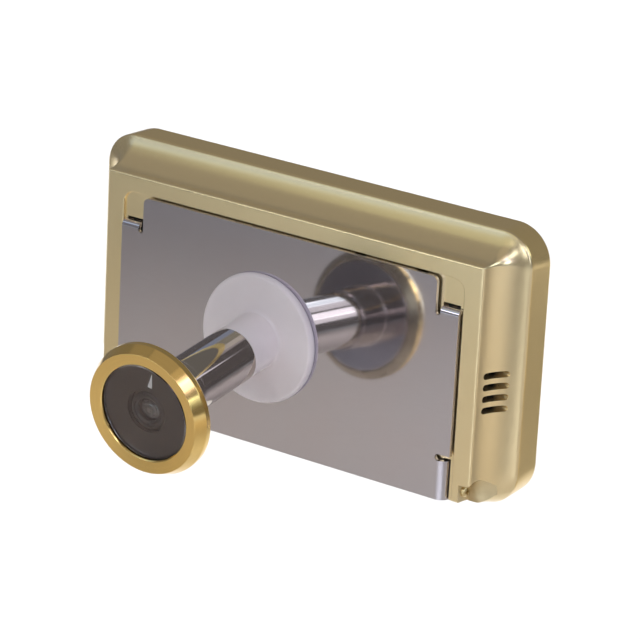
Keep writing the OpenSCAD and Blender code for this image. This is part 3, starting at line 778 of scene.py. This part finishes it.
def area(name, loc, aim, sx, sy, level, tint, tilt=0.0):
    """A rectangular light of even brightness, turned about its own axis by tilt degrees."""
    data = bpy.data.lights.new(name, "AREA")
    data.shape, data.size, data.size_y = "RECTANGLE", sx, sy
    data.energy, data.color = level * math.pi * sx * sy, tint
    ob = bpy.data.objects.new(name, data)
    scene.collection.objects.link(ob)
    ob.location = loc
    ob.rotation_mode = "QUATERNION"
    ob.rotation_quaternion = (Vector(aim) - Vector(loc)).to_track_quat("-Z", "Y") @ Matrix.Rotation(math.radians(tilt), 3, "Z").to_quaternion()
    ob.visible_camera = False
    return ob


def softbox(name, az, el, sx, sy, level, tint=(1, 1, 1), tilt=0.0, away=1.1):
    """A softbox round the object: azimuth from the door side towards the right, and elevation."""
    a, e = math.radians(az), math.radians(el)
    way = Vector((math.sin(a) * math.cos(e), -math.cos(a) * math.cos(e), math.sin(e)))
    ob = area(name, CENTRE + way * away, CENTRE, sx, sy, level, tint, tilt)
    ob.light_linking.receiver_collection = not_floor
    return ob


def wash(name, az, away, sx, sy, level, tint=(1, 1, 1), height=0.35):
    """A light that only brightens the floor."""
    a = math.radians(az)
    x, y = math.sin(a) * away, -math.cos(a) * away
    ob = area(name, (x, y, FLOOR_Z + height), (x, y, FLOOR_Z), sx, sy, level, tint)
    ob.data.spread = math.radians(70)
    ob.light_linking.receiver_collection = only_floor
    return ob


WARM, PALE, COOL = (1.0, 0.86, 0.66), (0.86, 0.91, 1.0), (0.75, 0.90, 1.0)
LILAC, SKY = (0.74, 0.70, 1.0), (0.50, 0.71, 1.0)
STRAW = (0.97, 1.0, 0.68)
softbox("right_strip", 76, 28, 0.17, 0.72, 3.2, LILAC, tilt=-10)
softbox("right_edge", 80, 12, 0.16, 0.25, 4.9, COOL)
softbox("right_back", 112, 31, 0.5, 0.47, 2.0, COOL)
softbox("right_high", 90, 54, 0.52, 0.42, 0.33, WARM)
softbox("right_top", 72, 46, 0.2, 0.2, 1.2, LILAC)
softbox("front_right", 52, 37, 0.46, 0.25, 2.4, PALE)
softbox("front_left", -30, 25, 0.26, 0.21, 2.8)
softbox("front_cool", -18, 24, 0.34, 0.2, 2.8, COOL)
softbox("front_mid", 0, 28, 0.34, 0.16, 1.7, PALE)
softbox("front_key", 22, 22.5, 0.24, 0.22, 3.6, PALE)
softbox("front_low", 15, 14.5, 0.84, 0.19, 2.0, PALE)
softbox("front_high", 12, 49, 0.36, 0.13, 0.55)
softbox("upper_left", -37, 37, 0.93, 0.25, 0.62, SKY)
softbox("upper_front", -22, 54, 1.0, 0.42, 0.37, STRAW)
softbox("overhead", 20, 80, 0.8, 0.8, 0.16, WARM)
softbox("back_high", 258, 55, 0.9, 0.6, 0.08, WARM)
wash("floor_left", -40, 0.33, 0.35, 0.35, 0.46, WARM)
wash("floor_front_near", 30, 0.3, 0.22, 0.22, 1.6)
wash("floor_front", 15, 0.5, 0.5, 0.28, 0.7)
wash("floor_front_far", 0, 0.95, 1.0, 0.6, 2.3, COOL)
wash("floor_right_near", 90, 0.3, 0.22, 0.22, 0.5, WARM)
wash("floor_right", 100, 0.5, 0.28, 0.5, 0.62, WARM)
wash("floor_right_far", 85, 0.95, 0.6, 1.0, 0.9, PALE)
wash("floor_back_right", 158, 0.95, 0.6, 0.6, 0.76)
wash("floor_behind", 213.4, 0.6, 0.95, 1.1, 1.06, height=0.3)

F_PX = 3645.0
az, el, roll = (math.radians(a) for a in (34.17, 19.54, 2.99))
back_v = Vector((math.sin(az) * math.cos(el), -math.cos(az) * math.cos(el), math.sin(el)))
right_v = (-back_v).cross(Vector((0, 0, 1))).normalized()
up_v = right_v.cross(-back_v)
r2 = right_v * math.cos(roll) + up_v * math.sin(roll)
u2 = up_v * math.cos(roll) - right_v * math.sin(roll)
cam_data = bpy.data.cameras.new("camera")
cam_data.sensor_width = 36.0
cam_data.lens = 36.0 * F_PX / 640.0
cam_data.clip_start, cam_data.clip_end = 0.01, 100.0
cam = bpy.data.objects.new("camera", cam_data)
scene.collection.objects.link(cam)
m = Matrix((r2, u2, back_v)).transposed().to_4x4()
m.translation = Vector((0.476546, -0.676701, 0.298865))
cam.matrix_world = m
scene.camera = cam
scene.view_settings.view_transform = "Standard"
scene.cycles.use_denoising = True
